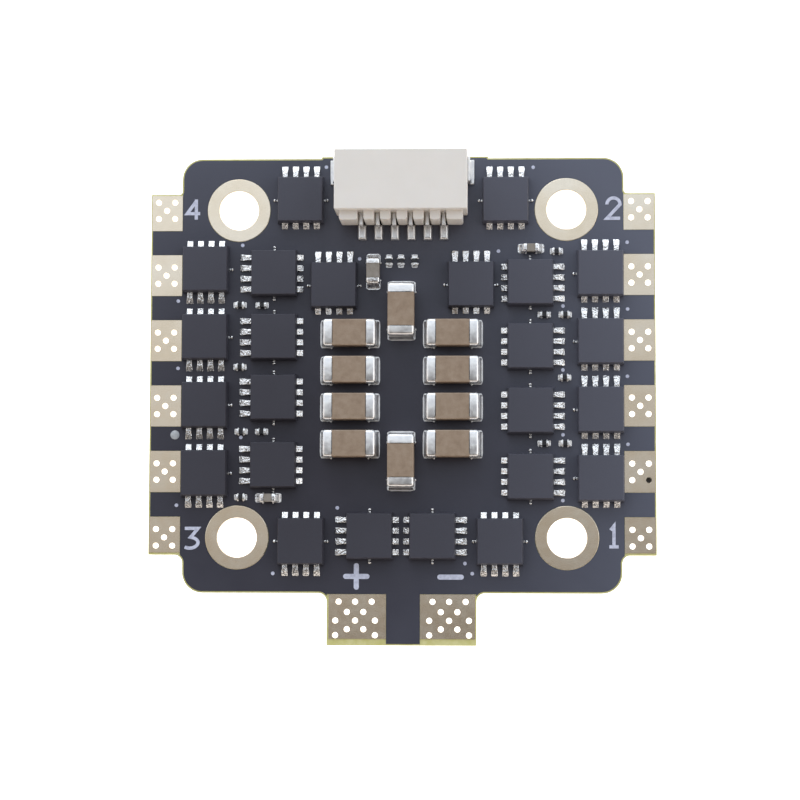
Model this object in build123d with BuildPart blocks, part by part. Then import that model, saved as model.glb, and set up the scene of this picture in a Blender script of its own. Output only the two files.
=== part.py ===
"""Four-channel brushless motor controller board for a small multirotor drone.

A 30.8 x 29.8 mm circuit board with four plated mounting holes, twelve motor pads, two battery
pads, 24 power transistors, ten bulk capacitors and a six-way signal socket.  Millimetres, +Z up.
The origin is the centre of the mounting-hole pattern, at the underside of the bare laminate.
The signal socket's side of the board is +Y and the battery pads' side is -Y.
"""

import os
from math import atan, degrees

from build123d import *

# ---------------------------------------------------------------- board
board_thickness = 1.6
front_half_width = 13.5  # the two front corners stand a little wider than the rear ones
rear_half_width = 13.33
body_front = 13.19  # front edge of the board's main square, beside the socket
body_rear = -13.35
body_corner_radius = 1.25
wing_half_width = 15.4  # the two side wings carry the motor pads
wing_front = 11.0
wing_rear = -11.05
front_root_radius = 0.2
rear_root_radius = 0.5
tab_half_width = 4.53  # the rear tab carries the battery pads
tab_rear = -16.5
tab_root_radius = 0.5
lip_sides = (-4.95, 5.25)  # shallow lip under the socket's mouth
lip_front = 13.3
mask_thickness = 0.04
mask_inset = 0.1  # bare laminate left along the routed edge
copper_thickness = 0.06
pad_clearance = 0.015
mask_top = board_thickness + mask_thickness

# ---------------------------------------------------------------- plated holes and pads
mounting_spacing = 20.0
mounting_hole_radius = 1.2
mounting_ring_radius = 1.93
barrel_wall = 0.05
motor_pad_pitch = 4.0
motor_pad_inner = 13.48
motor_pad_outer = 15.34
motor_pad_length = 2.5
end_pad_near = 8.75
end_pad_far = 10.92
via_radius = 0.18
via_offset = 0.5
motor_via_x = 14.44
battery_pad_front = -13.42
battery_pad_rear = -16.1
battery_pads = {"positive": (-4.4, -0.94), "negative": (1.13, 4.46)}
battery_via_rows = [(-13.86, (-1.0, 0.0, 1.0)), (-14.48, (-0.5, 0.5)), (-15.0, (-1.2, 0.0, 1.2)),
                    (-15.52, (-0.5, 0.5)), (-15.88, (-1.2, 1.2))]
battery_via_centres = {"positive": -2.8, "negative": 2.88}

# ---------------------------------------------------------------- power transistors
mosfet_base = 2.83
mosfet_top = 2.67
mosfet_foot_height = 0.22
mosfet_height = 0.8
mosfet_edge_radius = 0.04
lead_pitch = 0.65
lead_width = 0.4
lead_thickness = 0.2
long_lead_reach = 2.08  # from the transistor's centre, on its source and gate side
short_lead_reach = 1.75  # on its drain side
tie_bar_reach = 1.7
tie_bar_width = 0.2
tie_bar_thickness = 0.14
outer_column = [6.2, 2.05, -2.1, -6.25]
mosfets = [(-6.2, 10.6, "front"), (6.3, 10.55, "front")]
mosfets += [(-12.0, y + 0.15, "rear") for y in outer_column]
mosfets += [(-7.8, y, "left") for y in (6.1, 2.2, -1.5, -5.6)]
mosfets += [(-4.15, 5.35, "front"), (4.2, 5.38, "front")]
mosfets += [(7.8, y, "right") for y in (5.5, 1.6, -2.3, -6.3)]
mosfets += [(12.05, y - 0.15, "front") for y in outer_column]
mosfets += [(-6.1, -10.22, "rear"), (-1.93, -9.9, "left"), (1.87, -9.9, "right"), (5.95, -10.22, "rear")]
directions = {"right": (1, 0), "front": (0, 1), "left": (-1, 0), "rear": (0, -1)}

# ---------------------------------------------------------------- bulk capacitors (1206)
capacitor_length = 3.2
capacitor_width = 1.6
capacitor_height = 1.3
capacitor_cap = 0.56  # length of each metal end cap
capacitor_edge_radius = 0.07
cap_skin = 0.02  # the end caps stand this much outside the ceramic
land_thickness = 0.05
capacitor_rows = [2.38, 0.14, -2.1, -4.34]
bulk_capacitors = [(-3.15, y, 0) for y in capacitor_rows] + [(3.1, y, 0) for y in capacitor_rows]
bulk_capacitors += [(-0.03, 3.8, 90), (-0.03, -5.36, 90)]

# ---------------------------------------------------------------- small chip parts: x, y, turn
resistor_0201 = (0.6, 0.3, 0.24, 0.16)  # length, width, height, end cap
ceramic_0402 = (1.0, 0.5, 0.5, 0.25)
ceramic_0603 = (1.6, 0.8, 0.8, 0.35)
small_resistors = [(-9.9, 4.17, 0), (-8.55, 4.16, 0), (-9.88, 0.37, 0), (-9.78, -3.57, 0),
                   (-8.53, -3.57, 0), (-9.78, -7.56, 0), (9.4, 7.43, 0), (8.65, 3.55, 0),
                   (9.92, 3.55, 0), (9.88, -0.29, 0), (8.63, -4.28, 0), (9.9, -4.28, 0)]
small_resistors += [(x, 6.85, 90) for x in (-0.8, -0.07, 0.77)]
small_ceramics = [(7.85, 7.6, 0), (-8.1, -7.6, 0)]
larger_ceramics = [(-1.75, 6.2, 90)]

# ---------------------------------------------------------------- signal socket
socket_x = 0.0
socket_width = 8.0
socket_height = 2.95
socket_front = 13.29
socket_rear = 9.64
step_rear = 9.07
step_half_width = 3.73  # teeth between the contacts, behind the shell
step_height = 2.4
cavity_width = 7.0
cavity_floor = 0.5
cavity_roof = 2.45
cavity_depth = 2.8
contact_x = 0.06  # the middle of the contact row
contact_pitch = 1.0
contact_width = 0.28
contact_height = 1.3  # height of the contact posts' centre line above the mask
contact_thickness = 0.24
contact_tip = 12.5
contact_heel = 8.86
contact_toe = 8.18
slot_clearance = 0.01
bracket_thickness = 0.15
bracket_rear = 11.55
bracket_front = 13.05
bracket_height = 1.5
bracket_foot = 0.42

# ---------------------------------------------------------------- printed marks
ink_thickness = 0.02
stroke = 0.2
digit_height = 1.25
digit_width = 0.8
dot_radius = 0.11
plus_centre = (-2.73, -12.34)
minus_centre = (2.97, -12.37)
polarity_length = 1.6
polarity_stroke = 0.31
first_pin_dots = [(-4.66, 12.66), (7.99, 12.6), (-13.7, 4.43), (-13.68, 0.3), (-13.7, -8.05),
                  (-9.77, 7.85), (-9.8, -3.92), (-2.6, 7.0), (5.87, 7.45), (13.69, 7.97),
                  (13.7, 3.89), (13.67, -0.21), (13.69, -4.34), (9.78, 4.08), (9.77, 0.18),
                  (9.77, -3.76), (9.75, -7.74), (-7.8, -12.17), (-3.9, -8.2), (3.84, -11.55),
                  (4.28, -12.16)]

# ---------------------------------------------------------------- underside chips
driver_size = 4.0
driver_height = 0.9
controller_size = 3.0
controller_height = 0.75
regulator_size = (2.9, 1.6, 0.75)
driver_centres = [(x, y) for x in (-8.2, 8.2) for y in (-4.6, 4.6)]
controller_centres = [(x, y) for x in (-3.2, 3.2) for y in (-4.6, 4.6)]
regulator_centre = (0.0, -10.2)
chip_pad_width = 0.24
chip_pad_reach = 0.25
chip_pad_thickness = 0.1
chip_pad_pitch = 0.5

os.makedirs("parts", exist_ok=True)


def save(shape, label):
    """Name one finished piece and write it to its own file."""
    shape.label = label
    export_step(shape, f"parts/{label}.step")


def rectangle_between(left, right, rear, front, mode=Mode.ADD):
    """Draw a rectangle from its four sides."""
    with Locations(((left + right) / 2, (rear + front) / 2)):
        Rectangle(right - left, front - rear, mode=mode)


# ---------------------------------------------------------------- outlines shared by the layers
with BuildSketch() as board_outline:
    rectangle_between(-front_half_width, front_half_width, 0, body_front)
    front_corners = board_outline.vertices().group_by(Axis.Y)[-1]
    fillet(front_corners, body_corner_radius)
    rectangle_between(-rear_half_width, rear_half_width, body_rear, 0)
    rear_corners = board_outline.vertices().group_by(Axis.Y)[0]
    fillet(rear_corners, body_corner_radius)
    rectangle_between(-wing_half_width, wing_half_width, wing_rear, wing_front)
    rectangle_between(-tab_half_width, tab_half_width, tab_rear, 0)
    rectangle_between(*lip_sides, 0, lip_front)
    front_roots = [v for v in board_outline.vertices()
                   if abs(abs(v.X) - front_half_width) < 0.01 and abs(v.Y - wing_front) < 0.01]
    fillet(front_roots, front_root_radius)
    rear_roots = [v for v in board_outline.vertices()
                  if abs(abs(v.X) - rear_half_width) < 0.01 and abs(v.Y - wing_rear) < 0.01]
    fillet(rear_roots, rear_root_radius)
    inner_tab_corners = [v for v in board_outline.vertices()
                         if abs(abs(v.X) - tab_half_width) < 0.01 and abs(v.Y - body_rear) < 0.01]
    fillet(inner_tab_corners, tab_root_radius)

mounting_holes = [(x, y) for x in (-mounting_spacing / 2, mounting_spacing / 2)
                  for y in (-mounting_spacing / 2, mounting_spacing / 2)]


def motor_pad_sides(index, side):
    """Left, right, rear and front of motor pad 0 to 5, counted from the rear, on side -1 or 1."""
    centre = (index - 2.5) * motor_pad_pitch
    rear, front = centre - motor_pad_length / 2, centre + motor_pad_length / 2
    if index == 0:
        rear, front = -end_pad_far, -end_pad_near
    if index == 5:
        rear, front = end_pad_near, end_pad_far
    left, right = sorted((side * motor_pad_inner, side * motor_pad_outer))
    return left, right, rear, front


def motor_vias(index, side):
    """The five through-holes of one motor pad, set like the five on a die."""
    x, y = side * motor_via_x, (index - 2.5) * motor_pad_pitch
    return [(x, y)] + [(x + i * via_offset, y + j * via_offset) for i in (-1, 1) for j in (-1, 1)]


def battery_vias(name):
    """The through-holes of one battery pad, in staggered rows."""
    centre = battery_via_centres[name]
    return [(centre + x, y) for y, row in battery_via_rows for x in row]


all_vias = [hole for side in (-1, 1) for index in range(6) for hole in motor_vias(index, side)]
all_vias += battery_vias("positive") + battery_vias("negative")

# ---------------------------------------------------------------- laminate
with BuildPart() as board_laminate:
    with BuildSketch():
        add(board_outline.sketch)
        with Locations(*mounting_holes):
            Circle(mounting_hole_radius + barrel_wall, mode=Mode.SUBTRACT)
        with Locations(*all_vias):
            Circle(via_radius + barrel_wall, mode=Mode.SUBTRACT)
    extrude(amount=board_thickness)
save(board_laminate.part, "board_laminate")

# ---------------------------------------------------------------- solder mask, both faces
with BuildSketch() as mask_outline:
    add(board_outline.sketch)
    offset(amount=-mask_inset)
    with Locations(*mounting_holes):
        Circle(mounting_ring_radius + pad_clearance, mode=Mode.SUBTRACT)
    for side in (-1, 1):
        for index in range(6):
            left, right, rear, front = motor_pad_sides(index, side)
            opening_rear = wing_rear - 1 if index == 0 else rear - pad_clearance
            opening_front = wing_front + 1 if index == 5 else front + pad_clearance
            inner, outer = motor_pad_inner - pad_clearance, wing_half_width
            left, right = sorted((side * inner, side * outer))
            rectangle_between(left, right, opening_rear, opening_front, mode=Mode.SUBTRACT)
    for left, right in battery_pads.values():
        opening_left = tab_half_width * -1 if left < 0 else left - pad_clearance
        opening_right = right + pad_clearance if left < 0 else tab_half_width
        rectangle_between(opening_left, opening_right, tab_rear, battery_pad_front + pad_clearance,
                          mode=Mode.SUBTRACT)

for label, level in (("solder_mask_top", board_thickness), ("solder_mask_bottom", -mask_thickness)):
    with BuildPart() as solder_mask:
        with BuildSketch(Plane.XY.offset(level)):
            add(mask_outline.sketch)
        extrude(amount=mask_thickness)
    save(solder_mask.part, label)


# ---------------------------------------------------------------- plated rings and pads
def plated_through(outline, holes, radius):
    """Copper on both faces of the board, joined by plated barrels through the laminate."""
    with BuildPart() as copper:
        for level in (-copper_thickness, board_thickness):
            with BuildSketch(Plane.XY.offset(level)):
                add(outline)
                with Locations(*holes):
                    Circle(radius, mode=Mode.SUBTRACT)
            extrude(amount=copper_thickness)
        with BuildSketch():
            with Locations(*holes):
                Circle(radius + barrel_wall)
                Circle(radius, mode=Mode.SUBTRACT)
        extrude(amount=board_thickness)
    return copper.part


ring_names = {(-1, -1): "rear_left", (-1, 1): "front_left", (1, -1): "rear_right", (1, 1): "front_right"}
for (i, j), place in ring_names.items():
    centre = (i * mounting_spacing / 2, j * mounting_spacing / 2)
    with BuildSketch() as ring_outline:
        with Locations(centre):
            Circle(mounting_ring_radius)
    save(plated_through(ring_outline.sketch, [centre], mounting_hole_radius), f"mounting_ring_{place}")

motor_groups = {1: (1, (0, 1, 2)), 2: (1, (3, 4, 5)), 3: (-1, (0, 1, 2)), 4: (-1, (3, 4, 5))}
for motor, (side, indices) in motor_groups.items():
    with BuildSketch() as pad_outline:
        for index in indices:
            rectangle_between(*motor_pad_sides(index, side))
    holes = [hole for index in indices for hole in motor_vias(index, side)]
    save(plated_through(pad_outline.sketch, holes, via_radius), f"motor_pads_{motor}")

for name, (left, right) in battery_pads.items():
    with BuildSketch() as pad_outline:
        rectangle_between(left, right, battery_pad_rear, battery_pad_front)
    save(plated_through(pad_outline.sketch, battery_vias(name), via_radius), f"battery_pad_{name}")

# ---------------------------------------------------------------- power transistors
foot_top = mask_top + mosfet_foot_height
side_height = mosfet_height - mosfet_foot_height
side_draft = degrees(atan((mosfet_base - mosfet_top) / 2 / side_height))
for number, (x, y, facing) in enumerate(mosfets, start=1):
    with BuildPart() as mosfet:
        with BuildSketch(Plane.XY.offset(mask_top)):
            with Locations((x, y)):
                Rectangle(mosfet_base, mosfet_base)
        extrude(amount=mosfet_foot_height)
        with BuildSketch(Plane.XY.offset(foot_top)):
            with Locations((x, y)):
                Rectangle(mosfet_base, mosfet_base)
        extrude(amount=side_height, taper=side_draft)
        fillet(mosfet.edges().group_by(Axis.Z)[-1], mosfet_edge_radius)
    save(mosfet.part, f"mosfet_{number:02d}")


def lead_sketch(x, y, heading, across, start, reach, width):
    """One flat lead that leaves a package centred on (x, y) along its heading."""
    middle, length = (start + reach) / 2, reach - start
    i, j = heading
    with Locations((x + i * middle - j * across, y + j * middle + i * across)):
        Rectangle(length if i else width, width if i else length)


lead_offsets = [(n - 1.5) * lead_pitch for n in range(4)]
with BuildPart() as mosfet_leads:
    with BuildSketch(Plane.XY.offset(mask_top)):
        for x, y, facing in mosfets:
            i, j = directions[facing]
            for across in lead_offsets:
                lead_sketch(x, y, (i, j), across, mosfet_base / 2, long_lead_reach, lead_width)
                lead_sketch(x, y, (-i, -j), across, mosfet_base / 2, short_lead_reach, lead_width)
    extrude(amount=lead_thickness)
    with BuildSketch(Plane.XY.offset(mask_top)):
        for x, y, facing in mosfets:
            i, j = directions[facing]
            for heading in ((j, i), (-j, -i)):
                if abs(x + heading[0] * tie_bar_reach) < motor_pad_inner:  # none beside a motor pad
                    lead_sketch(x, y, heading, 0, mosfet_base / 2, tie_bar_reach, tie_bar_width)
    extrude(amount=tie_bar_thickness)
save(mosfet_leads.part, "mosfet_leads")


# ---------------------------------------------------------------- chip capacitors and resistors
def chip_rectangles(x, y, turn, length, width, apart=0.0):
    """A rectangle in the middle of a chip part, or two of them set apart along its length."""
    with Locations(Location((x, y), turn)):
        with Locations(*[(place, 0) for place in ([apart, -apart] if apart else [0.0])]):
            Rectangle(length, width)


for number, (x, y, turn) in enumerate(bulk_capacitors, start=1):
    with BuildPart() as ceramic:
        with BuildSketch(Plane.XY.offset(mask_top + land_thickness + cap_skin)):
            chip_rectangles(x, y, turn, capacitor_length - 2 * capacitor_cap, capacitor_width)
        extrude(amount=capacitor_height)
        long_axis = Axis.Y if turn else Axis.X
        fillet(ceramic.edges().filter_by(long_axis), capacitor_edge_radius)
    save(ceramic.part, f"bulk_capacitor_{number:02d}")

with BuildPart() as bulk_terminals:
    with BuildSketch(Plane.XY.offset(mask_top)):
        for x, y, turn in bulk_capacitors:
            chip_rectangles(x, y, turn, capacitor_cap, capacitor_width + 2 * cap_skin,
                            (capacitor_length - capacitor_cap) / 2)
    extrude(amount=land_thickness + capacitor_height + 2 * cap_skin)
save(bulk_terminals.part, "bulk_capacitor_terminals")


def chip_bodies(families):
    """The insulating bodies of small chip parts, all in one group."""
    with BuildPart() as bodies:
        for (length, width, height, cap), places in families:
            with BuildSketch(Plane.XY.offset(mask_top + land_thickness)):
                for x, y, turn in places:
                    chip_rectangles(x, y, turn, length - 2 * cap, width)
            extrude(amount=height)
    return bodies.part


resistor_families = [(resistor_0201, small_resistors)]
ceramic_families = [(ceramic_0402, small_ceramics), (ceramic_0603, larger_ceramics)]
save(chip_bodies(resistor_families), "chip_resistors")
save(chip_bodies(ceramic_families), "small_capacitors")

with BuildPart() as small_terminals:
    for (length, width, height, cap), places in resistor_families + ceramic_families:
        land = cap * 1.4
        with BuildSketch(Plane.XY.offset(mask_top)):
            for x, y, turn in places:
                chip_rectangles(x, y, turn, land, width * 1.1, length / 2 - cap + land / 2)
        extrude(amount=land_thickness)
        with BuildSketch(Plane.XY.offset(mask_top + land_thickness)):
            for x, y, turn in places:
                chip_rectangles(x, y, turn, cap, width, (length - cap) / 2)
        extrude(amount=height + cap_skin)
save(small_terminals.part, "small_part_terminals")

# ---------------------------------------------------------------- signal socket
contact_places = [contact_x + (n - 2.5) * contact_pitch for n in range(6)]
with BuildPart() as socket_housing:
    with BuildSketch(Plane.XY.offset(mask_top)):
        rectangle_between(socket_x - socket_width / 2, socket_x + socket_width / 2, socket_rear, socket_front)
    extrude(amount=socket_height)
    with BuildSketch(Plane.XY.offset(mask_top)):
        rectangle_between(socket_x - step_half_width, socket_x + step_half_width, step_rear, socket_rear)
    extrude(amount=step_height)
    with BuildSketch(Plane.XZ.offset(-socket_front)):
        rectangle_between(socket_x - cavity_width / 2, socket_x + cavity_width / 2,
                          mask_top + cavity_floor, mask_top + cavity_roof)
    extrude(amount=cavity_depth, mode=Mode.SUBTRACT)
    slot_half = contact_width / 2 + slot_clearance
    with BuildSketch(Plane.XY.offset(mask_top)):
        for x in contact_places:
            rectangle_between(x - slot_half, x + slot_half, step_rear - 0.1, socket_rear)
    extrude(amount=step_height, mode=Mode.SUBTRACT)
    post_half = contact_thickness / 2 + slot_clearance
    with BuildSketch(Plane.XZ.offset(-step_rear)):
        for x in contact_places:
            rectangle_between(x - slot_half, x + slot_half, mask_top + contact_height - post_half,
                              mask_top + contact_height + post_half)
    extrude(amount=step_rear - socket_front, mode=Mode.SUBTRACT)
save(socket_housing.part, "signal_socket_housing")

with BuildPart() as socket_contacts:
    post_top = mask_top + contact_height + contact_thickness / 2
    post_bottom = post_top - contact_thickness
    heel = contact_heel + contact_thickness
    for x in contact_places:
        with BuildSketch(Plane.YZ.offset(x)):
            with BuildLine():
                Polyline((contact_tip, post_bottom), (heel, post_bottom), (heel, mask_top),
                         (contact_toe, mask_top), (contact_toe, mask_top + contact_thickness / 2),
                         (contact_heel, mask_top + contact_thickness), (contact_heel, post_top),
                         (contact_tip, post_top), close=True)
            make_face()
        extrude(amount=contact_width / 2, both=True)
save(socket_contacts.part, "signal_socket_contacts")

with BuildPart() as socket_brackets:
    for side in (-1, 1):
        wall = socket_x + side * socket_width / 2
        with BuildSketch(Plane.XY.offset(mask_top)):
            rectangle_between(*sorted((wall, wall + side * bracket_foot)), bracket_rear, bracket_front)
        extrude(amount=bracket_thickness)
        with BuildSketch(Plane.XY.offset(mask_top)):
            rectangle_between(*sorted((wall, wall + side * bracket_thickness)), bracket_rear, bracket_front)
        extrude(amount=bracket_height)
save(socket_brackets.part, "signal_socket_brackets")


# ---------------------------------------------------------------- printed marks
def digit_path(digit, x, y):
    """The pen strokes of the digit 1, 2, 3 or 4, centred on (x, y)."""
    w, h = digit_width / 2, digit_height / 2
    if digit == 1:
        Polyline((x - w / 2, y + h * 0.6), (x, y + h), (x, y - h))
        Line((x - w * 0.7, y - h), (x + w * 0.7, y - h))
    if digit == 2:
        bend = ThreePointArc((x - w, y + h - w), (x, y + h), (x + w, y + h - w))
        Polyline(bend @ 1, (x - w, y - h), (x + w, y - h))
    if digit == 3:
        upper = Polyline((x - w, y + h), (x + w, y + h), (x - w * 0.1, y + h * 0.15))
        Spline(upper @ 1, (x + w, y - h * 0.45), (x - w, y - h * 0.8), tangents=((1, -0.2), (-1, 0.5)))
    if digit == 4:
        Polyline((x + w, y - h * 0.4), (x - w, y - h * 0.4), (x + w * 0.4, y + h - stroke / 2))


motor_digits = {1: (12.82, -9.9), 2: (12.87, 10.07), 3: (-12.77, -10.08), 4: (-12.8, 10.07)}
with BuildPart() as silkscreen:
    with BuildSketch(Plane.XY.offset(mask_top)):
        for digit, (x, y) in motor_digits.items():
            with BuildLine():
                digit_path(digit, x, y)
            trace(line_width=stroke)
        x, y = motor_digits[4]
        stem = x + digit_width * 0.2
        rectangle_between(stem - stroke / 2, stem + stroke / 2, y - digit_height / 2, y + digit_height / 2)
    extrude(amount=ink_thickness)
    with BuildSketch(Plane.XY.offset(mask_top)):
        with Locations(plus_centre):
            SlotOverall(polarity_length, polarity_stroke)
            SlotOverall(polarity_length, polarity_stroke, rotation=90)
        with Locations(minus_centre):
            SlotOverall(polarity_length, polarity_stroke)
        with Locations(*first_pin_dots):
            Circle(dot_radius)
    extrude(amount=ink_thickness)
save(silkscreen.part, "silkscreen_top")


# ---------------------------------------------------------------- underside chips
def underside_chips(centres, size, height):
    """Flat square packages that hang below the lower mask."""
    with BuildPart() as chips:
        with BuildSketch(Plane.XY.offset(-mask_thickness - height)):
            with Locations(*centres):
                RectangleRounded(size, size, 0.08)
        extrude(amount=height)
    return chips.part


save(underside_chips(driver_centres, driver_size, driver_height), "gate_drivers")
save(underside_chips(controller_centres, controller_size, controller_height), "microcontrollers")

with BuildPart() as regulator:
    with BuildSketch(Plane.XY.offset(-mask_thickness - regulator_size[2])):
        with Locations(regulator_centre):
            Rectangle(regulator_size[0], regulator_size[1])
    extrude(amount=regulator_size[2])
save(regulator.part, "voltage_regulator")


def chip_pads(centres, half, count):
    """Solder ends that show around a package, a row of count along each of its four sides."""
    for x, y in centres:
        for heading in directions.values():
            for n in range(count):
                across = (n - (count - 1) / 2) * chip_pad_pitch
                lead_sketch(x, y, heading, across, half, half + chip_pad_reach, chip_pad_width)


with BuildPart() as underside_terminals:
    with BuildSketch(Plane.XY.offset(-mask_thickness - chip_pad_thickness)):
        chip_pads(driver_centres, driver_size / 2, 6)
        chip_pads(controller_centres, controller_size / 2, 5)
        for across in (-0.95, 0.0, 0.95):
            x, y = regulator_centre
            lead_sketch(x, y, (0, 1), across, regulator_size[1] / 2, regulator_size[1] / 2 + 0.6, 0.4)
        for across in (-0.95, 0.95):
            lead_sketch(x, y, (0, -1), across, regulator_size[1] / 2, regulator_size[1] / 2 + 0.6, 0.4)
    extrude(amount=chip_pad_thickness)
save(underside_terminals.part, "underside_chip_leads")
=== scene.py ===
# %% [markdown]
# This lesson dresses a small circuit board that drives four drone motors. The solid model already
# holds the board, its chips and its sizes. Here it gets its solder, its rounded metal ends, a moulded
# socket and a finish for every surface. The rigid model is loaded first and is never moved.

# %% Load the solid model
import math

import bmesh
import bpy
from mathutils import Matrix, Vector


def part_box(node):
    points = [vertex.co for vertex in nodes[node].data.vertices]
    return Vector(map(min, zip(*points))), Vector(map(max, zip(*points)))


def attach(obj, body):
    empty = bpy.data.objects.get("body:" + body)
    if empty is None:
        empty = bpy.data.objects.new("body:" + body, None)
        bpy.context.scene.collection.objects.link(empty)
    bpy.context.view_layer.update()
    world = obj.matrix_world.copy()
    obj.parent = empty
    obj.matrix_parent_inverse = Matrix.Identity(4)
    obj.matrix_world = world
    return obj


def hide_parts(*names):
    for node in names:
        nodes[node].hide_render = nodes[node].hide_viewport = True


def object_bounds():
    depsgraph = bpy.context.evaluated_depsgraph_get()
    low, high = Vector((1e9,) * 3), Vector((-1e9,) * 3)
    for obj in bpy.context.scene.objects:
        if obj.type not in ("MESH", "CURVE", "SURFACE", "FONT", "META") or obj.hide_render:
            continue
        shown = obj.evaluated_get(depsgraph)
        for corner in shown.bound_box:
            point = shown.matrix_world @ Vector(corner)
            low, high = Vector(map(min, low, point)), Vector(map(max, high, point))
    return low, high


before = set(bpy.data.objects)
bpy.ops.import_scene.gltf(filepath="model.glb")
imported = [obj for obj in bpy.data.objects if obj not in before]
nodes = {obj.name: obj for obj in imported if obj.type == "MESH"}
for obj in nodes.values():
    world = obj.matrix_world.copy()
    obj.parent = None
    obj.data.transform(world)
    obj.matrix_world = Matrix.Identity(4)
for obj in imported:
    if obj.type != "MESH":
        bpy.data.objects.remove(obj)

cad_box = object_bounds()
MM = 0.001
print("loaded", len(nodes), "pieces of the solid model")

# %% [markdown]
# Heights come from the solid model itself, so that every new piece stands exactly on the board. The
# copper pads stand a hair above the dark varnish, which is called the solder mask.

# %% Read the heights that everything stands on
mask_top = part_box("solder_mask_top")[1][2]
board_bottom, board_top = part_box("board_laminate")[0][2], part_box("board_laminate")[1][2]
board_thickness = round((board_top - board_bottom) / MM, 2)
print("mask top at", round(mask_top / MM, 3), "mm, board", board_thickness, "mm thick")

# %% [markdown]
# A few helpers keep the modelling steps short. Everything loaded starts out selected, so each step
# first clears the selection. A block is a cube primitive stretched between two corners, and `pick`
# enters edit mode with only the wanted faces, edges or corners selected.

# %% Helpers for starting and picking
def clear_selection():
    """Leave edit mode and deselect everything."""
    if bpy.context.object and bpy.context.object.mode != "OBJECT":
        bpy.ops.object.mode_set(mode="OBJECT")
    bpy.ops.object.select_all(action="DESELECT")


def activate(piece):
    """Make one piece the only selected and active one."""
    clear_selection()
    piece.select_set(True)
    bpy.context.view_layer.objects.active = piece


def block(name, low, high):
    """A cube primitive between two corners, given in millimetres."""
    clear_selection()
    low, high = Vector(low) * MM, Vector(high) * MM
    bpy.ops.mesh.primitive_cube_add(size=1, location=(low + high) / 2, scale=high - low)
    piece = bpy.context.object
    piece.name = piece.data.name = name
    bpy.ops.object.transform_apply(location=True, rotation=True, scale=True)
    return piece


def pick(piece, kind, test):
    """Enter edit mode with only the corners, edges or faces selected that pass the test."""
    activate(piece)
    bpy.ops.object.mode_set(mode="EDIT")
    bpy.ops.mesh.select_mode(type=kind)
    bpy.ops.mesh.select_all(action="DESELECT")
    mesh = bmesh.from_edit_mesh(piece.data)
    items = {"VERT": mesh.verts, "EDGE": mesh.edges, "FACE": mesh.faces}[kind]
    for item in items:
        item.select_set(bool(test(item)))
    mesh.select_flush_mode()
    bmesh.update_edit_mesh(piece.data)


def leave():
    """Back to object mode."""
    bpy.ops.object.mode_set(mode="OBJECT")


# %% [markdown]
# Real edges are never perfectly sharp. Smooth shading below a chosen angle hides the facets, and a small
# bevel catches a thin line of light. Its hardened normals keep the flat faces beside it looking flat.

# %% Helpers for finishing and copying
def soften(piece, width, segments=2, angle=30):
    """Shade a piece smooth, and round the edges that are sharper than the angle."""
    activate(piece)
    bpy.ops.object.shade_smooth_by_angle(angle=math.radians(40))
    bevel = piece.modifiers.new("edges", "BEVEL")
    bevel.width = width * MM
    bevel.segments = segments
    bevel.limit_method = "ANGLE"
    bevel.angle_limit = math.radians(angle)
    bevel.harden_normals = True
    bpy.ops.object.modifier_apply(modifier=bevel.name)
    return piece


def join(name, pieces):
    """Join pieces into one object with a new name."""
    activate(pieces[0])
    for piece in pieces:
        piece.select_set(True)
    bpy.ops.object.join()
    joined = bpy.context.object
    joined.name = joined.data.name = name
    return joined


def copies(model, places):
    """One copy of the model at each place, each with a mesh of its own. The model goes away."""
    made = []
    for place in places:
        copy = model.copy()
        copy.data = model.data.copy()
        copy.data.transform(place)
        bpy.context.collection.objects.link(copy)
        made.append(copy)
    bpy.data.objects.remove(model)
    return made


def place_at(x, y, z, turn=0.0):
    """A place in metres, turned about the vertical by an angle in radians."""
    return Matrix.Translation((x, y, z)) @ Matrix.Rotation(turn, 4, "Z")


def install(piece, slot, *replaced):
    """Attach a finished piece to the board and hide the named solids that it stands for."""
    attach(piece, "root")
    if replaced:
        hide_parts(*replaced)
    print(piece.name, "has", len(piece.data.polygons), "faces")
    return piece


# %% [markdown]
# Each power transistor stands on flat leads. On one side they are long and wet with solder: the lead is
# level at first and the solder then slopes down to its pad. One lead is modelled as a block with a few
# cuts across it, and its outer stations are lowered and widened in turn.

# %% Model one long lead with its solder
transistor_names = [f"mosfet_{number:02d}" for number in range(1, 25)]
package_half = (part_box(transistor_names[0])[1][0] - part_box(transistor_names[0])[0][0]) / 2 / MM
root, long_tip, cuts = -0.03, 0.69, 4
long_lead = block("long_lead", (root, -0.2, 0.0), (long_tip, 0.2, 0.21))
pick(long_lead, "EDGE", lambda e: abs(e.verts[0].co.x - e.verts[1].co.x) > 0.1 * MM)
bpy.ops.mesh.subdivide(number_cuts=cuts)
leave()
station_gap = (long_tip - root) / (cuts + 1)
stations = [(1, 0.74, 0.0), (2, 0.76, -0.01), (3, 0.9, -0.03), (4, 1.0, -0.085), (5, 0.92, -0.15),
            (0, 0.74, 0.0)]
for number, narrowing, drop in stations:
    x = (root + number * station_gap) * MM
    pick(long_lead, "VERT", lambda v: abs(v.co.x - x) < 0.02 * MM and v.co.z > 0.1 * MM)
    bpy.ops.transform.resize(value=(1, narrowing, 1), center_override=(x, 0, 0))
    bpy.ops.transform.translate(value=(0, 0, drop * MM))
    leave()
soften(long_lead, 0.045, segments=3)

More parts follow.
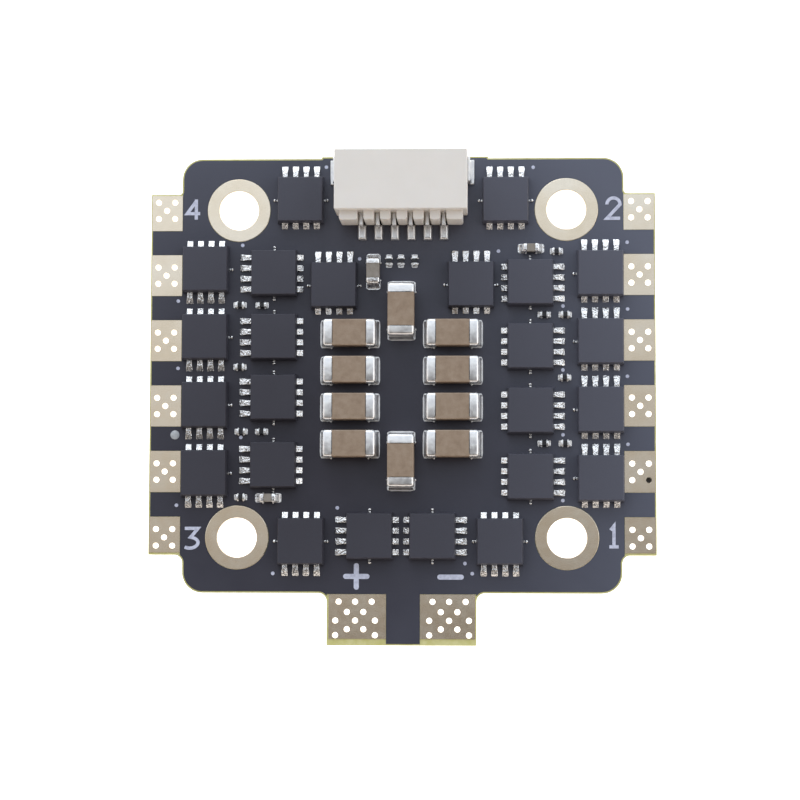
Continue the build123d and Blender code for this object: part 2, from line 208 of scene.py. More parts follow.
# %% Model one short lead and one tie bar, which is a low strip with a rounded end
short_lead = block("short_lead", (root, -0.18, 0.0), (0.36, 0.18, 0.2))
pick(short_lead, "VERT", lambda v: v.co.x > 0.2 * MM and v.co.z > 0.08 * MM)
bpy.ops.transform.translate(value=(0, 0, -0.15 * MM))
leave()
soften(short_lead, 0.06, segments=3)
stub = soften(block("stub", (root, -0.06, 0.0), (0.2, 0.06, 0.05)), 0.02)
clear_selection()
bpy.ops.mesh.primitive_uv_sphere_add(segments=16, ring_count=10, radius=0.1 * MM,
                                     location=(0.19 * MM, 0, 0.04 * MM))
knob = bpy.context.object
bpy.ops.object.transform_apply(location=True, rotation=True, scale=True)
bpy.ops.object.shade_smooth()
tie_bar = join("tie_bar", [stub, knob])

# %% [markdown]
# The leads are placed from each transistor's own box. The word after each number says which way its
# long leads point: the transistors beside the motor pads point along the board, the others outwards.
# The two other sides show one tie bar each, except where a motor pad begins beside the package.

# %% Copy the leads to all the transistors
facings = (["front"] * 2 + ["rear"] * 4 + ["left"] * 4 + ["front"] * 2 + ["right"] * 4
           + ["front"] * 4 + ["rear", "left", "right", "rear"])
headings = {"right": 0.0, "front": math.pi / 2, "left": math.pi, "rear": -math.pi / 2}
lead_pitch = 0.65
pad_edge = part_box("motor_pads_1")[0][0]
long_places, short_places, tie_places = [], [], []
for name, facing in zip(transistor_names, facings):
    low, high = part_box(name)
    home = place_at((low[0] + high[0]) / 2, (low[1] + high[1]) / 2, mask_top, headings[facing])
    back = home @ Matrix.Rotation(math.pi, 4, "Z")
    for step in range(4):
        side_step = place_at(package_half * MM, (step - 1.5) * lead_pitch * MM, 0)
        long_places.append(home @ side_step)
        short_places.append(back @ side_step)
    for quarter in (1, 3):
        side = home @ Matrix.Rotation(quarter * math.pi / 2, 4, "Z")
        tie_place = side @ place_at(package_half * MM, 0, 0)
        if abs(tie_place.translation.x) < pad_edge - 0.1 * MM:
            tie_places.append(tie_place)
lead_copies = copies(long_lead, long_places) + copies(short_lead, short_places)
lead_copies += copies(tie_bar, tie_places)
transistor_leads = install(join("transistor_leads", lead_copies), "solder", "mosfet_leads")

# %% [markdown]
# A chip capacitor's end is a metal cap, with a concave fillet of solder that climbs its outer face from
# the land below. The cap is a rounded block. The land and the fillet both start as a thin slab and are
# drawn outwards in steps: the land's are each narrower and the fillet's each lower than the last. Two
# specks of solder sit at the land's inner corners.

# %% A helper for one soldered end
land_steps = ((0.2, 0.94), (0.15, 0.88), (0.1, 0.8))
fillet_steps = ((0.12, 0.7, 1.04), (0.15, 0.62, 1.03), (0.2, 0.5, 1.01), (0.2, 0.42, 0.97))


def soldered_end(name, cap, width, height, reach, climb, overhang):
    """A metal end cap with solder. Millimetres; the chip lies towards -X and the cap ends at x = 0."""
    skin = 0.02
    metal = block(name, (-cap, -width / 2 - skin, 0.04), (0.0, width / 2 + skin, height))
    pick(metal, "EDGE", lambda e: all(v.co.x > -0.001 * MM for v in e.verts)
         or abs(e.verts[0].co.x - e.verts[1].co.x) > cap / 2 * MM)
    bpy.ops.mesh.bevel(offset=min(0.18, height * 0.18) * MM, segments=4)
    leave()
    soften(metal, 0.012, segments=1)
    half_land = width / 2 + overhang
    land = block("land", (-cap * 0.8, -half_land, 0.0), (reach * 0.55, half_land, 0.03))
    pick(land, "FACE", lambda f: f.normal.x > 0.5)
    for share, narrower in land_steps:
        bpy.ops.mesh.extrude_region_move(TRANSFORM_OT_translate={"value": (share * reach * MM, 0, 0)})
        bpy.ops.transform.resize(value=(1, narrower, 1), center_override=(0, 0, 0))
    leave()
    specks = []
    for side in (-1, 1):
        clear_selection()
        bpy.ops.mesh.primitive_uv_sphere_add(
            segments=12, ring_count=8, radius=0.07 * MM,
            location=(-cap * 0.75 * MM, side * half_land * MM, 0.02 * MM))
        specks.append(bpy.context.object)
        bpy.ops.object.transform_apply(location=True, rotation=True, scale=True)
        bpy.ops.object.shade_smooth()
    fillet = block("fillet", (-0.02, -width * 0.44, 0.0), (reach * 0.08, width * 0.44, height * climb))
    run = reach * 0.08
    for share, lower, wider in fillet_steps:
        face_x = (run - 0.01) * MM
        pick(fillet, "FACE", lambda f: f.normal.x > 0.5 and f.calc_center_median().x > face_x)
        bpy.ops.mesh.extrude_region_move(TRANSFORM_OT_translate={"value": (share * reach * MM, 0, 0)})
        run += share * reach
        bpy.ops.transform.resize(value=(1, wider, lower), center_override=(run * MM, 0, 0))
        leave()
    soften(fillet, min(0.04, reach * 0.15), segments=2, angle=55)
    return join(name, [metal, land, fillet] + specks)


# %% Solder the ten large capacitors
bulk_names = [f"bulk_capacitor_{number:02d}" for number in range(1, 11)]
cap_length, bulk_height, bulk_width = 0.56, 1.37, 1.6
bulk_end = soldered_end("bulk_end", cap_length + 0.05, bulk_width, bulk_height, 0.22, 0.5, 0.05)
bulk_places = []
for name in bulk_names:
    low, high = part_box(name)
    middle = ((low[0] + high[0]) / 2, (low[1] + high[1]) / 2)
    stands_upright = high[1] - low[1] > high[0] - low[0]
    heading = math.pi / 2 if stands_upright else 0.0
    half = max(high[0] - low[0], high[1] - low[1]) / 2 + cap_length * MM
    for turn in (heading, heading + math.pi):
        bulk_places.append(place_at(*middle, mask_top, turn) @ place_at(half, 0, 0))
bulk_ends = install(join("bulk_capacitor_ends", copies(bulk_end, bulk_places)), "solder",
                    "bulk_capacitor_terminals")

# %% [markdown]
# The smallest chips come in three sizes. Their centres are repeated from the board's layout, in
# millimetres, and each size gets its own soldered end, made by the same helper. A size is the chip's
# length, width and height, and then its cap's length and how far the solder reaches.

# %% Solder the small chips
resistor_end = (0.6, 0.3, 0.3, 0.17, 0.1)
lying_resistors = [
    (-9.9, 4.17), (-8.55, 4.16), (-9.88, 0.37), (-9.78, -3.57), (-8.53, -3.57), (-9.78, -7.56),
    (9.4, 7.43), (8.65, 3.55), (9.92, 3.55), (9.88, -0.29), (8.63, -4.28), (9.9, -4.28)]
small_families = {
    "lying_resistor": (resistor_end, lying_resistors, 0.0),
    "upright_resistor": (resistor_end, [(-0.8, 6.85), (-0.07, 6.85), (0.77, 6.85)], math.pi / 2),
    "ceramic_0402": ((1.0, 0.5, 0.57, 0.25, 0.3), [(7.85, 7.6), (-8.1, -7.6)], 0.0),
    "ceramic_0603": ((1.6, 0.8, 0.87, 0.35, 0.3), [(-1.75, 6.2)], math.pi / 2)}
small_ends = []
for name, ((length, width, height, cap, reach), centres, heading) in small_families.items():
    end = soldered_end(name, cap, width, height, reach, 0.7, 0.03)
    places = [place_at(x * MM, y * MM, mask_top, turn) @ place_at(length / 2 * MM, 0, 0)
              for x, y in centres for turn in (heading, heading + math.pi)]
    small_ends += copies(end, places)
small_chip_ends = install(join("small_chip_ends", small_ends), "solder", "small_part_terminals")

# %% [markdown]
# A mounting ring is copper on both faces of the board, joined by a plated wall through the hole. Half of
# its section is drawn flat: the wall first, then a flange pulled out at the top and one at the bottom.
# Spinning the outline of that section about the hole's axis makes the whole ring in one go.

# %% Spin one mounting ring and copy it to the four holes
corners = ("front_left", "front_right", "rear_left", "rear_right")
ring_names = ["mounting_ring_" + corner for corner in corners]
low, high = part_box(ring_names[0])
ring_radius, hole_radius, wall = (high[0] - low[0]) / 2, 1.2 * MM, 0.05 * MM
clear_selection()
bpy.ops.mesh.primitive_plane_add(size=1, location=(0, 0, 0))
ring = bpy.context.object
ring.name = "mounting_ring"
ring.scale = (wall, high[2] - low[2], 1)
ring.rotation_euler = (math.pi / 2, 0, 0)
ring.location = (hole_radius + wall / 2, 0, (high[2] + low[2]) / 2)
bpy.ops.object.transform_apply(location=True, rotation=True, scale=True)
for level in (board_bottom, board_top):
    pick(ring, "FACE", lambda f: True)
    bpy.ops.mesh.bisect(plane_co=(0, 0, level), plane_no=(0, 0, 1), threshold=0.001 * MM)
    leave()


def flange_root(edge):
    """The short outer edge above or below the laminate."""
    middle = (edge.verts[0].co + edge.verts[1].co) / 2
    outside = all(abs(v.co.x - hole_radius - wall) < wall / 4 for v in edge.verts)
    return outside and not board_bottom < middle.z < board_top


pick(ring, "EDGE", flange_root)
bpy.ops.mesh.extrude_region_move(
    TRANSFORM_OT_translate={"value": (ring_radius - hole_radius - wall, 0, 0)})
leave()
pick(ring, "FACE", lambda f: True)
bpy.ops.mesh.dissolve_faces()
bpy.ops.mesh.delete(type="ONLY_FACE")
bpy.ops.mesh.select_all(action="SELECT")
bpy.ops.mesh.spin(steps=120, angle=2 * math.pi, center=(0, 0, 0), axis=(0, 0, 1))
bpy.ops.mesh.select_all(action="SELECT")
bpy.ops.mesh.remove_doubles(threshold=0.002 * MM)
bpy.ops.mesh.normals_make_consistent(inside=False)
leave()
soften(ring, 0.03, segments=2)
ring_centres = []
for name in ring_names:
    low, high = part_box(name)
    ring_centres.append(place_at((low[0] + high[0]) / 2, (low[1] + high[1]) / 2, 0))
rings = copies(ring, ring_centres)
for name, piece in zip(ring_names, rings):
    piece.name = piece.data.name = name.replace("mounting_", "plated_")
    install(piece, "gold_plating", name)

# %% [markdown]
# The signal socket is one moulding. A block becomes the shell: its front face is inset and pushed in to
# make the mouth. Behind it, low teeth stand between the contacts, with their rear corners rounded, and
# all of it gets the small rounding of a moulded part.

# %% Mould the socket's shell
socket_low, socket_high = (Vector(corner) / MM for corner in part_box("signal_socket_housing"))
socket_middle = (socket_low.x + socket_high.x) / 2
base_z = socket_low.z
tooth_depth, shell_wall, mouth_depth = 0.57, 0.5, 2.8
shell_rear = socket_low.y + tooth_depth
shell = block("socket_shell", (socket_low.x, shell_rear, base_z), socket_high)
pick(shell, "FACE", lambda f: f.normal.y > 0.9)
bpy.ops.mesh.inset(thickness=shell_wall * MM)
bpy.ops.mesh.extrude_region_move(TRANSFORM_OT_translate={"value": (0, -mouth_depth * MM, 0)})
leave()
soften(shell, 0.07, segments=3)

# %% Add the teeth between the contacts
contact_low, contact_high = (Vector(corner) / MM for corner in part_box("signal_socket_contacts"))
contact_pitch, contact_gap, tooth_height, teeth_half = 1.0, 0.36, 2.4, 3.73
contacts_middle = (contact_low.x + contact_high.x) / 2
contact_xs = [contacts_middle + (number - 2.5) * contact_pitch for number in range(6)]
tooth_edges = [socket_middle - teeth_half] + contact_xs + [socket_middle + teeth_half]
teeth = []
for number, (left, right) in enumerate(zip(tooth_edges, tooth_edges[1:])):
    left = left + (contact_gap / 2 if number else 0)
    right = right - (contact_gap / 2 if number < 6 else 0)
    tooth = block("tooth", (left, socket_low.y, base_z), (right, shell_rear + 0.05, base_z + tooth_height))
    pick(tooth, "EDGE", lambda e: all(v.co.y < (socket_low.y + 0.01) * MM for v in e.verts)
         and abs(e.verts[0].co.z - e.verts[1].co.z) > 1 * MM)
    bpy.ops.mesh.bevel(offset=0.14 * MM, segments=4)
    leave()
    teeth.append(soften(tooth, 0.04, segments=2))
socket = install(join("socket_moulding", [shell] + teeth), "socket_plastic", "signal_socket_housing")

# %% [markdown]
# Each contact is a bent strip: a post in the mouth, a drop behind the shell and a foot on its pad. The
# strip is drawn outwards from the post's rear end, one extrusion for each bend, and solder rises around
# the foot. The two side brackets are bent sheet with solder at their feet.

# %% Bend one contact and solder its foot
strip, half_strip = 0.2, 0.12
heel_y, toe_y = contact_low.y + 0.68, contact_low.y + 0.06
post_z = contact_high.z - strip
contact = block("contact", (-half_strip, heel_y + strip, post_z),
                (half_strip, contact_high.y, contact_high.z))
pick(contact, "FACE", lambda f: f.normal.y < -0.9)
bpy.ops.mesh.extrude_region_move(TRANSFORM_OT_translate={"value": (0, -strip * MM, 0)})
leave()
pick(contact, "FACE", lambda f: f.normal.z < -0.9 and f.calc_center_median().y < (heel_y + strip) * MM)
bpy.ops.mesh.extrude_region_move(
    TRANSFORM_OT_translate={"value": (0, 0, (base_z + strip + 0.03 - post_z) * MM)})
bpy.ops.mesh.extrude_region_move(TRANSFORM_OT_translate={"value": (0, 0, -strip * MM)})
leave()
pick(contact, "FACE", lambda f: f.normal.y < -0.9 and f.calc_center_median().z < (base_z + strip) * MM)
bpy.ops.mesh.extrude_region_move(TRANSFORM_OT_translate={"value": (0, (toe_y - heel_y) * MM, 0)})
leave()
soften(contact, 0.05, segments=2)
foot_solder = block("foot_solder", (-0.27, contact_low.y - 0.06, base_z),
                    (0.27, heel_y + 0.2, base_z + 0.05))
pick(foot_solder, "FACE", lambda f: f.normal.z > 0.9)
for rise, narrower in ((0.07, 0.94), (0.08, 0.88), (0.06, 0.74)):
    bpy.ops.mesh.extrude_region_move(TRANSFORM_OT_translate={"value": (0, 0, rise * MM)})
    bpy.ops.transform.resize(value=(narrower, 0.5 + narrower / 2, 1),
                             center_override=(0, (heel_y - 0.1) * MM, 0))
leave()
soften(foot_solder, 0.04, segments=2)
contact = join("contact", [contact, foot_solder])
contact_set = copies(contact, [place_at(x * MM, 0, 0) for x in contact_xs])
contacts = install(join("socket_contacts", contact_set), "tinned_contact", "signal_socket_contacts")

# %% Bend the two side brackets
bracket_low, bracket_high = (Vector(corner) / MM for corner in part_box("signal_socket_brackets"))
sheet_gauge = 0.15
side_x = (socket_high.x - socket_low.x) / 2
sheet = block("sheet", (side_x, bracket_low.y, base_z),
              (side_x + sheet_gauge, bracket_high.y, bracket_high.z))
foot = block("foot", (side_x, bracket_low.y, base_z),
             (side_x + 0.4, bracket_high.y, base_z + sheet_gauge))
climb = block("climb", (side_x + 0.05, bracket_low.y + 0.05, base_z),
              (side_x + 0.25, bracket_high.y - 0.05, base_z + 0.4))
pick(climb, "VERT", lambda v: v.co.x > (side_x + 0.2) * MM and v.co.z > (base_z + 0.2) * MM)
bpy.ops.transform.translate(value=(0, 0, -0.22 * MM))
leave()
bracket = join("bracket", [soften(sheet, 0.04), soften(foot, 0.04), soften(climb, 0.05)])
bracket_places = [place_at(socket_middle * MM, 0, 0),
                  place_at(socket_middle * MM, (bracket_low.y + bracket_high.y) * MM, 0, math.pi)]
brackets = install(join("socket_brackets", copies(bracket, bracket_places)), "tinned_contact",
                   "signal_socket_brackets")

# %% [markdown]
# The small chip bodies keep the solid model's outline. A copy of each group is merged into clean blocks
# and its edges are rounded, because fired and moulded chips have no sharp edges.

# %% Round the edges of copies of the small chips
def rounded_copy(name, node, width, slot):
    """A copy of one solid with its triangles merged and its edges rounded."""
    piece = nodes[node].copy()
    piece.data = nodes[node].data.copy()
    bpy.context.collection.objects.link(piece)
    piece.name = piece.data.name = name
    pick(piece, "FACE", lambda f: True)
    bpy.ops.mesh.remove_doubles(threshold=0.001 * MM)
    bpy.ops.mesh.select_all(action="SELECT")
    bpy.ops.mesh.dissolve_limited(angle_limit=math.radians(3))
    leave()
    soften(piece, width)
    return install(piece, slot, node)


resistor_bodies = rounded_copy("chip_resistor_bodies", "chip_resistors", 0.03, "resistor_body")
ceramic_bodies = rounded_copy("small_capacitor_bodies", "small_capacitors", 0.05, "small_ceramic")

# %% [markdown]
# Two small marks of hand work show on the board: a grey, glassy drop of dried flux beside a transistor,
# and one pad hole that is closed by a dark plug.

# %% Add the flux drop and the closed hole
drop_x, drop_y, plug_x, plug_y = -13.83, -3.77, 14.94, -6.5
clear_selection()
bpy.ops.mesh.primitive_uv_sphere_add(segments=24, ring_count=12, radius=0.28 * MM,
                                     location=(drop_x * MM, drop_y * MM, mask_top), scale=(1, 1, 0.25))
flux_drop = bpy.context.object
flux_drop.name = flux_drop.data.name = "flux_drop"
bpy.ops.object.transform_apply(location=True, rotation=True, scale=True)
pick(flux_drop, "FACE", lambda f: True)
bpy.ops.mesh.bisect(plane_co=(0, 0, mask_top - 0.005 * MM), plane_no=(0, 0, 1),
                    threshold=0.001 * MM, clear_inner=True, use_fill=True)
leave()
soften(flux_drop, 0.02)
install(flux_drop, "white_ink")

clear_selection()
bpy.ops.mesh.primitive_cylinder_add(vertices=24, radius=0.175 * MM, depth=0.3 * MM,
                                    location=(plug_x * MM, plug_y * MM, board_top - 0.45 * MM))
hole_plug = bpy.context.object
hole_plug.name = hole_plug.data.name = "dark_plug"
bpy.ops.object.transform_apply(location=True, rotation=True, scale=True)
pick(hole_plug, "FACE", lambda f: f.normal.z > 0.9)
bpy.ops.mesh.inset(thickness=0.06 * MM, depth=-0.04 * MM)
bpy.ops.mesh.inset(thickness=0.06 * MM, depth=-0.02 * MM)
leave()
soften(hole_plug, 0.015)
install(hole_plug, "solder")

# %% [markdown]
# Every finish is built from nodes. The helpers below make a Principled surface and hang noise on its
# colour, roughness and bump. All patterns read Object coordinates in metres, so a scale of 20000 gives
# details about a twentieth of a millimetre across.

# %% Helpers for finishes
def finish(name, colour, roughness, metallic=0.0):
    """A new material with a Principled surface. Colour is linear red, green, blue."""
    material = bpy.data.materials.new(name)
    material.use_nodes = True
    shader = material.node_tree.nodes["Principled BSDF"]
    shader.inputs["Base Color"].default_value = (*colour, 1)
    shader.inputs["Roughness"].default_value = roughness
    shader.inputs["Metallic"].default_value = metallic
    return material, shader


def add(material, kind, **values):
    """Add a node and set its sockets by name."""
    node = material.node_tree.nodes.new(kind)
    for socket, value in values.items():
        node.inputs[socket.replace("_", " ")].default_value = value
    return node


def link(material, source, target):
    """Join an output socket to an input socket."""
    material.node_tree.links.new(source, target)


def noise(material, scale, detail=3.0, stretch=(1, 1, 1), roughness=0.5):
    """Noise on Object coordinates, optionally stretched. Returns its factor."""
    place = material.node_tree.nodes.new("ShaderNodeTexCoord")
    mapping = add(material, "ShaderNodeMapping", Scale=stretch)
    texture = add(material, "ShaderNodeTexNoise", Scale=scale, Detail=detail, Roughness=roughness)
    link(material, place.outputs["Object"], mapping.inputs["Vector"])
    link(material, mapping.outputs["Vector"], texture.inputs["Vector"])
    return texture.outputs["Fac"]


def ramp(material, factor, *stops):
    """Turn a factor into a colour through stops of (position, (red, green, blue))."""
    node = material.node_tree.nodes.new("ShaderNodeValToRGB")
    link(material, factor, node.inputs["Fac"])
    while len(node.color_ramp.elements) < len(stops):
        node.color_ramp.elements.new(0.5)
    for element, (position, colour) in zip(node.color_ramp.elements, stops):
        element.position = position
        element.color = (*colour, 1)
    return node.outputs["Color"]


def spread(material, factor, low, high, start=0.3, end=0.7):
    """Stretch a factor to run from low to high."""
    node = add(material, "ShaderNodeMapRange", From_Min=start, From_Max=end, To_Min=low, To_Max=high)
    link(material, factor, node.inputs["Value"])
    return node.outputs["Result"]


def painted_light_gradient(material, near, far):
    """Painted light: lighten a dark surface with distance from a point at the rear left. Near and far are
    colours.
    """
    place = material.node_tree.nodes.new("ShaderNodeTexCoord")
    shift = add(material, "ShaderNodeMapping", Location=(7 * MM, 5 * MM, 0))
    link(material, place.outputs["Object"], shift.inputs["Vector"])
    squared = add(material, "ShaderNodeVectorMath")
    squared.operation = "DOT_PRODUCT"
    for number in range(2):
        link(material, shift.outputs["Vector"], squared.inputs[number])
    distance = spread(material, squared.outputs["Value"], 0.0, 1.0, 0.0, 650 * MM * MM)
    cloud = spread(material, noise(material, 420, 4), -0.02, 0.02)
    total = add(material, "ShaderNodeMath")
    link(material, distance, total.inputs[0])
    link(material, cloud, total.inputs[1])
    return ramp(material, total.outputs["Value"], (0.0, near), (1.0, far))


def bump(material, shader, height, depth, strength=1.0, under=None):
    """Raise the surface by a height factor, depth in millimetres. Returns the node's output."""
    node = add(material, "ShaderNodeBump", Strength=strength, Distance=depth * MM)
    link(material, height, node.inputs["Height"])
    if under:
        link(material, under, node.inputs["Normal"])
    link(material, node.outputs["Normal"], shader.inputs["Normal"])
    return node.outputs["Normal"]


def wear(material, shader, factor, low, high):
    """Vary the roughness by a factor."""
    link(material, spread(material, factor, low, high), shader.inputs["Roughness"])


def coat(material, *pieces):
    """Give a material to pieces, by object or by the name of a solid that is still shown."""
    for piece in pieces:
        piece = nodes[piece] if isinstance(piece, str) else piece
        piece.data.materials.clear()
        piece.data.materials.append(material)
    print(material.name, "covers", len(pieces), "pieces")


# %% [markdown]
# The solder mask is a thin, slightly glossy varnish, nearly black with a blue cast. Glass cloth shows
# through it as a very fine weave, and the copper below lifts it in soft patches. Painted light lightens
# the varnish and the transistors towards the corners, most of all at the right.

# %% Solder mask
def solder_mask():
    """Blue-black varnish over copper and glass cloth."""
    material, shader = finish("solder_mask", (0.026, 0.026, 0.038), 0.4)
    # The base colour carries painted light: it grows lighter towards the corners, most of all at the right.
    link(material, painted_light_gradient(material, (0.0205, 0.019, 0.031), (0.094, 0.104, 0.144)),
         shader.inputs["Base Color"])
    wear(material, shader, noise(material, 900, 3), 0.36, 0.5)
    weave_x = noise(material, 9000, 1, (1, 0.12, 1))
    weave_y = noise(material, 9000, 1, (0.12, 1, 1))
    first = bump(material, shader, weave_x, 0.004, 0.5)
    second = bump(material, shader, weave_y, 0.004, 0.5, first)
    bump(material, shader, noise(material, 260, 2), 0.05, 0.35, second)
    return material


coat(solder_mask(), "solder_mask_top", "solder_mask_bottom")

# %% [markdown]
# The bare laminate shows only along the routed edge and below the battery pads: glass cloth in pale
# yellow-green resin. Its rim is given a faint painted glow, standing in for light that passes through
# it from below. Layers of cloth make faint bands down the edge.

# %% Bare laminate
def bare_laminate():
    """Yellow-green glass and resin."""
    material, shader = finish("bare_laminate", (0.52, 0.49, 0.2), 0.5)
    fibres = noise(material, 7000, 2, (0.3, 0.3, 1.6))
    link(material, ramp(material, fibres, (0.3, (0.47, 0.44, 0.15)), (0.7, (0.58, 0.55, 0.27))),
         shader.inputs["Base Color"])
    # A faint painted glow: emission standing in for light from the table passing up through the laminate.
    shader.inputs["Emission Color"].default_value = (0.86, 0.9, 0.5, 1)
    shader.inputs["Emission Strength"].default_value = 0.08
    shader.inputs["Subsurface Weight"].default_value = 0.25
    shader.inputs["Subsurface Radius"].default_value = (0.0008, 0.0008, 0.0003)
    bump(material, shader, fibres, 0.01, 0.6)
    return material


coat(bare_laminate(), "board_laminate")

# %% [markdown]
# The pads and rings are copper with a thin skin of gold over nickel. The gold is pale and satin, with a
# fine grain from the copper, faint brush lines and a few darker smudges where it has been handled.

# %% Gold plating
def gold_plating():
    """Pale satin gold over nickel."""
    material, shader = finish("gold_plating", (0.87, 0.77, 0.61), 0.22, 1.0)
    smudge = noise(material, 420, 4)
    link(material, ramp(material, smudge, (0.32, (0.82, 0.71, 0.54)), (0.5, (0.87, 0.77, 0.61)),
                        (0.68, (0.9, 0.82, 0.68))), shader.inputs["Base Color"])
    grain = noise(material, 16000, 3)
    wear(material, shader, noise(material, 2600, 3), 0.15, 0.24)
    first = bump(material, shader, grain, 0.002, 0.5)
    bump(material, shader, noise(material, 4200, 2, (1, 0.15, 1)), 0.003, 0.4, first)
    return material


motor_pads = [f"motor_pads_{number}" for number in range(1, 5)]
coat(gold_plating(), *rings, *motor_pads, "battery_pad_positive", "battery_pad_negative")

# %% [markdown]
# Solder is bright tin. It freezes with a slightly frosted skin and small ripples, so its reflections
# break up into light and dark patches. The capacitors' caps are smoother. The socket's contacts and
# brackets have the same tin in a thinner coat.

# %% Solder and tinned contacts
def bright_tin(name, roughness, ripple, fineness):
    """Bright tin with frozen ripples."""
    material, shader = finish(name, (0.86, 0.86, 0.85), roughness, 1.0)
    frost = noise(material, 3400, 3)
    link(material, ramp(material, frost, (0.3, (0.74, 0.74, 0.75)), (0.62, (0.88, 0.88, 0.87))),
         shader.inputs["Base Color"])
    wear(material, shader, frost, roughness * 0.85, roughness * 1.25)
    bump(material, shader, noise(material, fineness, 2), ripple, 1.0)
    return material


coat(bright_tin("solder", 0.2, 0.07, 8000), transistor_leads, "underside_chip_leads")
coat(bright_tin("small_caps", 0.28, 0.025, 8000), small_chip_ends)
coat(bright_tin("capacitor_caps", 0.36, 0.012, 3400), bulk_ends)
coat(bright_tin("tinned_contact", 0.36, 0.02, 6500), contacts)
coat(bright_tin("bracket_sheet", 0.36, 0.004, 3400), brackets)

# %% [markdown]
# Transistors and chips are black epoxy filled with silica: a fine matte grain, a touch blue against the
# mask.

# %% Package plastic
def package_plastic(name, near, far, roughness):
    """Matte silica-filled epoxy, lightened away from the middle of the board by painted light."""
    material, shader = finish(name, near, roughness)
    # Painted light: the base colour lightens with distance from a point near the middle of the board.
    link(material, painted_light_gradient(material, near, far), shader.inputs["Base Color"])
    grain = noise(material, 22000, 3)
    wear(material, shader, grain, roughness * 0.88, roughness * 1.12)
    bump(material, shader, grain, 0.006, 0.5)
    return material


coat(package_plastic("transistor_plastic", (0.0275, 0.0265, 0.0385), (0.089, 0.095, 0.129), 0.58),
     *transistor_names)
coat(package_plastic("chip_plastic", (0.022, 0.022, 0.026), (0.03, 0.03, 0.034), 0.5),
     "gate_drivers", "microcontrollers", "voltage_regulator")
coat(package_plastic("resistor_body", (0.012, 0.012, 0.015), (0.02, 0.02, 0.024), 0.3), resistor_bodies)
coat(package_plastic("closed_hole", (0.022, 0.02, 0.02), (0.03, 0.027, 0.026), 0.35), hole_plug)

# %% [markdown]
# Fired ceramic is a warm grey-brown with darker specks and a fine grain. The small ones
# are a shade greener.

# %% Ceramic
def fired_ceramic(name, dark, middle, light):
    """Brown barium ceramic with specks."""
    material, shader = finish(name, middle, 0.42)
    clouds = noise(material, 2400, 5, roughness=0.7)
    link(material, ramp(material, clouds, (0.28, dark), (0.5, middle), (0.72, light)),
         shader.inputs["Base Color"])
    grain = noise(material, 14000, 3)
    wear(material, shader, grain, 0.34, 0.5)
    bump(material, shader, grain, 0.006, 0.5)
    return material


coat(fired_ceramic("bulk_ceramic", (0.235, 0.168, 0.115), (0.288, 0.214, 0.152), (0.332, 0.256, 0.19)),
     *bulk_names)
coat(fired_ceramic("small_ceramic", (0.19, 0.17, 0.14), (0.25, 0.225, 0.195), (0.3, 0.275, 0.25)),
     ceramic_bodies)

# %% [markdown]
# The socket is moulded nylon, ivory with a hint of grey. Nylon is a little translucent, and its skin
# has a very fine mould texture. The printed marks are white ink with a lilac tint, thin enough that the
# varnish darkens them in places.

# %% Socket nylon, ink and flux
def nylon():
    """Ivory moulded nylon."""
    material, shader = finish("socket_nylon", (0.755, 0.725, 0.68), 0.5)
    clouds = noise(material, 700, 3)
    link(material, ramp(material, clouds, (0.3, (0.745, 0.715, 0.67)), (0.7, (0.765, 0.735, 0.695))),
         shader.inputs["Base Color"])
    grain = noise(material, 12000, 3)
    wear(material, shader, grain, 0.4, 0.54)
    bump(material, shader, grain, 0.008, 0.4)
    shader.inputs["Subsurface Weight"].default_value = 0.2
    shader.inputs["Subsurface Radius"].default_value = (0.0005, 0.0004, 0.0003)
    return material


def printed_ink():
    """Thin lilac-white ink."""
    material, shader = finish("printed_ink", (0.52, 0.55, 0.68), 0.6)
    cover = noise(material, 5200, 4)
    link(material, ramp(material, cover, (0.3, (0.42, 0.44, 0.56)), (0.6, (0.58, 0.61, 0.74))),
         shader.inputs["Base Color"])
    bump(material, shader, noise(material, 15000, 2), 0.006, 0.5)
    return material


def dried_flux():
    """A grey, glassy drop."""
    material, shader = finish("dried_flux", (0.3, 0.32, 0.34), 0.22)
    clouds = noise(material, 3000, 3)
    link(material, ramp(material, clouds, (0.35, (0.32, 0.35, 0.38)), (0.65, (0.48, 0.5, 0.52))),
         shader.inputs["Base Color"])
    return material


coat(nylon(), socket)
coat(printed_ink(), "silkscreen_top")
coat(dried_flux(), flux_drop)

# %% [markdown]
# The board lies on a light table: a white sheet that glows, so that the holes and the rim of the laminate
# show bright and the shadows stay faint. The glow is strong under the board and fades further out. From
# below the sheet is clear, so the underside can be seen.

# %% Light table
lowest = cad_box[0][2]
clear_selection()
bpy.ops.mesh.primitive_plane_add(size=3.0, location=(0, 0, lowest - 0.02 * MM))
table = bpy.context.object
table.name = "light_table"
glow_near, glow_far, fade_start, fade_end = 1.4, 0.5, 0.03, 0.07
table_white, table_shader = finish("light_table", (0.9, 0.9, 0.9), 0.9)
table_shader.inputs["Emission Color"].default_value = (1, 1, 1, 1)
table_place = table_white.node_tree.nodes.new("ShaderNodeTexCoord")
table_reach = add(table_white, "ShaderNodeVectorMath")
table_reach.operation = "LENGTH"
link(table_white, table_place.outputs["Object"], table_reach.inputs[0])
table_glow = spread(table_white, table_reach.outputs["Value"], glow_near, glow_far, fade_start, fade_end)
link(table_white, table_glow, table_shader.inputs["Emission Strength"])
table_side = table_white.node_tree.nodes.new("ShaderNodeNewGeometry")
clear_side = add(table_white, "ShaderNodeBsdfTransparent")
one_way = add(table_white, "ShaderNodeMixShader")
link(table_white, table_side.outputs["Backfacing"], one_way.inputs[0])
link(table_white, table_shader.outputs["BSDF"], one_way.inputs[1])
link(table_white, clear_side.outputs["BSDF"], one_way.inputs[2])
table_output = table_white.node_tree.nodes["Material Output"]
link(table_white, one_way.outputs["Shader"], table_output.inputs["Surface"])
table.data.materials.append(table_white)

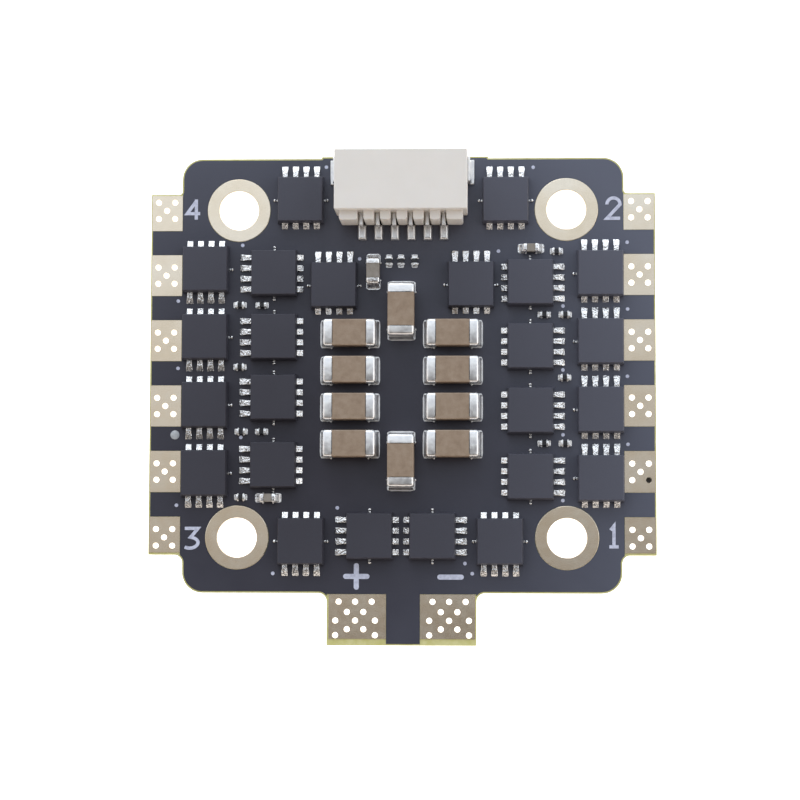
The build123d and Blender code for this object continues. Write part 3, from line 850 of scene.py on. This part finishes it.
# %% [markdown]
# The room is a soft tent of light. Its overhead part brightens steadily towards the socket's side and a
# little to the left: a direction's brightness is a sloping plane in X and Y, kept between a floor and a
# ceiling. Its colour runs from warm at the rear to bluish at the front. Near the horizon its brightness
# is even. Two softboxes, one in front and one at the right, add the brightest reflections.

# %% Room light and softboxes
world = bpy.context.scene.world or bpy.data.worlds.new("studio")
bpy.context.scene.world = world
world.use_nodes = True
zenith_glow, horizon_glow = 0.33, 1.2
front_slope, right_slope = 3.5, -0.5
floor_glow, ceiling_glow = 0.06, 1.25
direction = world.node_tree.nodes.new("ShaderNodeTexCoord")


def lean_along(x, y):
    """How far a direction leans along X and Y, each with a weight of its own."""
    lean = add(world, "ShaderNodeVectorMath")
    lean.operation = "DOT_PRODUCT"
    lean.inputs[1].default_value = (x, y, 0)
    link(world, direction.outputs["Generated"], lean.inputs[0])
    return lean.outputs["Value"]


slope = lean_along(right_slope, front_slope)
tent = spread(world, slope, floor_glow, ceiling_glow, floor_glow - zenith_glow,
              ceiling_glow - zenith_glow)
split = world.node_tree.nodes.new("ShaderNodeSeparateXYZ")
link(world, direction.outputs["Generated"], split.inputs["Vector"])
blend = world.node_tree.nodes.new("ShaderNodeMix")
blend.inputs["A"].default_value = horizon_glow
link(world, spread(world, split.outputs["Z"], 0.0, 1.0, 0.35, 0.75), blend.inputs["Factor"])
link(world, tent, blend.inputs["B"])
room = world.node_tree.nodes["Background"]
link(world, blend.outputs["Result"], room.inputs["Strength"])
tone = spread(world, lean_along(0.0, 1.0), 0.0, 1.0, -0.03, 0.17)
link(world, ramp(world, tone, (0.0, (1.08, 0.965, 0.87)), (1.0, (0.945, 1.02, 1.12))), room.inputs["Color"])


def softbox(name, place, side, power):
    """A square soft lamp, aimed at the middle of the board. Millimetres and watts."""
    light = bpy.data.lights.new(name, "AREA")
    light.shape, light.size, light.energy = "SQUARE", side * MM, power
    holder = bpy.data.objects.new(name, light)
    bpy.context.collection.objects.link(holder)
    holder.location = Vector(place) * MM
    holder.rotation_euler = (-Vector(place)).to_track_quat("-Z", "Y").to_euler()


softbox("front_softbox", (-60, 230, 130), 120, 0.12)
softbox("right_softbox", (150, -10, 125), 110, 0.055)
bpy.context.scene.view_settings.view_transform = "Standard"

# %% [markdown]
# The camera looks almost straight down from 15 centimetres, a little to the right of the board's middle
# and towards the battery side, so the socket shows a sliver of its rear wall.

# %% Camera
eye = Vector((5.92, -12.67, 149.91)) * MM
look = Vector((-0.04054, 0.07411, -0.99643)).normalized()
right = look.cross(Vector((0.0005, 0.99725, 0.07415))).normalized()
up = right.cross(look)
camera_data = bpy.data.cameras.new("overhead")
camera_data.sensor_width = 36.0
camera_data.lens = 110.2
camera_data.clip_start = 0.001
camera = bpy.data.objects.new("overhead", camera_data)
bpy.context.collection.objects.link(camera)
camera.matrix_world = Matrix.Translation(eye) @ Matrix((right, up, -look)).transposed().to_4x4()
bpy.context.scene.camera = camera
